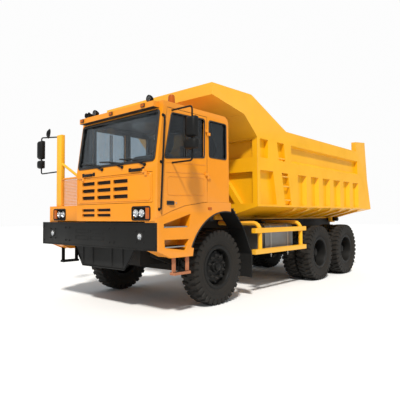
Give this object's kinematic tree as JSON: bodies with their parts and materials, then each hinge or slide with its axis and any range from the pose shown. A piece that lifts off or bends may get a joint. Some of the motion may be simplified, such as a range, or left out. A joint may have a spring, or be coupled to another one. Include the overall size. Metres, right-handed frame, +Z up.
{
  "type": "mining dump truck",
  "caption": "Wide-body rigid mining truck with an offset cab, steered front wheels, driven twin rear wheels and a canopied rock body tipped by a front hoist.",
  "frame": {"origin": "on the ground, at the middle of the truck's box", "axes": "+Z up, the truck faces -Y, +X towards its left side"},
  "size_m": [4.175, 8.435, 3.755],
  "materials": {
    "cab_paint": "gloss orange-yellow paint",
    "body_paint": "semi-gloss yellow paint",
    "black_paint": "satin black paint",
    "chassis_paint": "satin dark grey paint",
    "tyre_rubber": "matt rubber with deep lugs",
    "tank_aluminium": "rolled aluminium",
    "rod_chrome": "chromed rod",
    "tinted_glass": "tinted safety glass",
    "dark_plastic": "moulded plastic",
    "seat_cloth": "woven cloth"
  },
  "bodies": {
    "chassis": {"chassis_frame": "chassis_paint", "front_bumper": "black_paint", "engine_block": "chassis_paint", "front_axle": "chassis_paint", "mid_axle": "chassis_paint", "rear_axle": "chassis_paint", "bogie_springs": "chassis_paint", "propshaft": "chassis_paint", "fuel_tank": "tank_aluminium", "hydraulic_tank": "chassis_paint", "side_guard_left": "body_paint", "side_guard_right": "body_paint", "mudguard_left": "black_paint", "mudguard_right": "black_paint", "cab_shell": "cab_paint", "fender_left": "cab_paint", "fender_right": "cab_paint", "platform_right": "cab_paint", "mirror_pole": "body_paint", "windscreen": "tinted_glass", "quarter_glass_left": "tinted_glass", "quarter_glass_right": "tinted_glass", "rear_glass": "tinted_glass", "driver_seat": "seat_cloth", "passenger_seat": "seat_cloth", "dashboard": "dark_plastic"},
    "knuckle_left": {"steering_knuckle_left": "chassis_paint"},
    "knuckle_right": {"steering_knuckle_right": "chassis_paint"},
    "steering_link": {"tie_rod": "chassis_paint"},
    "front_wheel_left": {"front_rim_left": "black_paint", "front_tyre_left": "tyre_rubber"},
    "front_wheel_right": {"front_rim_right": "black_paint", "front_tyre_right": "tyre_rubber"},
    "cab_door_left": {"door_left": "cab_paint", "door_glass_left": "tinted_glass", "mirror_left": "black_paint"},
    "cab_door_right": {"door_right": "cab_paint", "door_glass_right": "tinted_glass"},
    "front_lid": {"grille_lid": "cab_paint"},
    "tipping_body": {"dump_body": "body_paint"},
    "rear_gate": {"tailgate": "body_paint"},
    "hoist_outer": {"hoist_cover": "chassis_paint"},
    "hoist_tube_1": {"hoist_stage_1": "rod_chrome"},
    "hoist_tube_2": {"hoist_stage_2": "rod_chrome"},
    "hoist_rod": {"hoist_stage_3": "rod_chrome"},
    "mid_wheels_left": {"mid_twin_rim_left": "black_paint", "mid_outer_tyre_left": "tyre_rubber", "mid_inner_tyre_left": "tyre_rubber"},
    "mid_wheels_right": {"mid_twin_rim_right": "black_paint", "mid_outer_tyre_right": "tyre_rubber", "mid_inner_tyre_right": "tyre_rubber"},
    "rear_wheels_left": {"rear_twin_rim_left": "black_paint", "rear_outer_tyre_left": "tyre_rubber", "rear_inner_tyre_left": "tyre_rubber"},
    "rear_wheels_right": {"rear_twin_rim_right": "black_paint", "rear_outer_tyre_right": "tyre_rubber", "rear_inner_tyre_right": "tyre_rubber"}
  },
  "joints": [
    {"name": "steer_left", "type": "hinge", "parent": "chassis", "child": "knuckle_left", "pos_m": [1, -2.6225, 0.635], "axis": [0, 0, 1], "range_deg": [-35, 35]},
    {"name": "steer_right", "type": "hinge", "parent": "chassis", "child": "knuckle_right", "pos_m": [-1, -2.6225, 0.635], "axis": [0, 0, 1], "range_deg": [-35, 35]},
    {"name": "steering_link_pivot", "type": "hinge", "parent": "knuckle_left", "child": "steering_link", "pos_m": [1, -2.3425, 0.467], "axis": [0, 0, 1], "range_deg": [-35, 35]},
    {"name": "front_wheel_left_spin", "type": "hinge", "parent": "knuckle_left", "child": "front_wheel_left", "pos_m": [1.255, -2.6225, 0.635], "axis": [1, 0, 0], "continuous": true},
    {"name": "front_wheel_right_spin", "type": "hinge", "parent": "knuckle_right", "child": "front_wheel_right", "pos_m": [-1.255, -2.6225, 0.635], "axis": [1, 0, 0], "continuous": true},
    {"name": "mid_wheels_left_spin", "type": "hinge", "parent": "chassis", "child": "mid_wheels_left", "pos_m": [1.1075, 1.1275, 0.635], "axis": [1, 0, 0], "continuous": true},
    {"name": "mid_wheels_right_spin", "type": "hinge", "parent": "chassis", "child": "mid_wheels_right", "pos_m": [-1.1075, 1.1275, 0.635], "axis": [1, 0, 0], "continuous": true},
    {"name": "rear_wheels_left_spin", "type": "hinge", "parent": "chassis", "child": "rear_wheels_left", "pos_m": [1.1075, 2.6275, 0.635], "axis": [1, 0, 0], "continuous": true},
    {"name": "rear_wheels_right_spin", "type": "hinge", "parent": "chassis", "child": "rear_wheels_right", "pos_m": [-1.1075, 2.6275, 0.635], "axis": [1, 0, 0], "continuous": true},
    {"name": "door_left_hinge", "type": "hinge", "parent": "chassis", "child": "cab_door_left", "pos_m": [1.575, -3.0985, 2], "axis": [0, 0, 1], "range_deg": [0, 70]},
    {"name": "door_right_hinge", "type": "hinge", "parent": "chassis", "child": "cab_door_right", "pos_m": [-0.465, -3.0985, 2], "axis": [0, 0, -1], "range_deg": [0, 70]},
    {"name": "front_lid_hinge", "type": "hinge", "parent": "chassis", "child": "front_lid", "pos_m": [0.5, -4.2045, 2.146], "axis": [-1, 0, 0], "range_deg": [0, 75]},
    {"name": "body_tip", "type": "hinge", "parent": "chassis", "child": "tipping_body", "pos_m": [0, 3.7775, 1.4], "axis": [-1, 0, 0], "range_deg": [0, 45]},
    {"name": "tailgate_hinge", "type": "hinge", "parent": "tipping_body", "child": "rear_gate", "pos_m": [0, 3.6115, 3.425], "axis": [1, 0, 0], "range_deg": [0, 60]},
    {"name": "hoist_swing", "type": "hinge", "parent": "tipping_body", "child": "hoist_outer", "pos_m": [0, -1.9225, 1.85], "axis": [-1, 0, 0], "range_deg": [-22.6, 0]},
    {"name": "hoist_slide_1", "type": "slide", "parent": "hoist_outer", "child": "hoist_tube_1", "axis": [0, 0, -1], "range_m": [0, 1.441]},
    {"name": "hoist_slide_2", "type": "slide", "parent": "hoist_tube_1", "child": "hoist_tube_2", "axis": [0, 0, -1], "range_m": [0, 1.441]},
    {"name": "hoist_slide_3", "type": "slide", "parent": "hoist_tube_2", "child": "hoist_rod", "axis": [0, 0, -1], "range_m": [0, 1.441]}
  ],
  "couplings": [
    {"joint": "steer_right", "follows": "steer_left", "ratio": 1},
    {"joint": "steering_link_pivot", "follows": "steer_left", "ratio": -1},
    {"joint": "hoist_swing", "follows": "body_tip", "ratio": -0.5},
    {"joint": "hoist_slide_1", "follows": "body_tip", "m_per_rad": 1.8225},
    {"joint": "hoist_slide_2", "follows": "body_tip", "m_per_rad": 1.8225},
    {"joint": "hoist_slide_3", "follows": "body_tip", "m_per_rad": 1.8225}
  ]
}
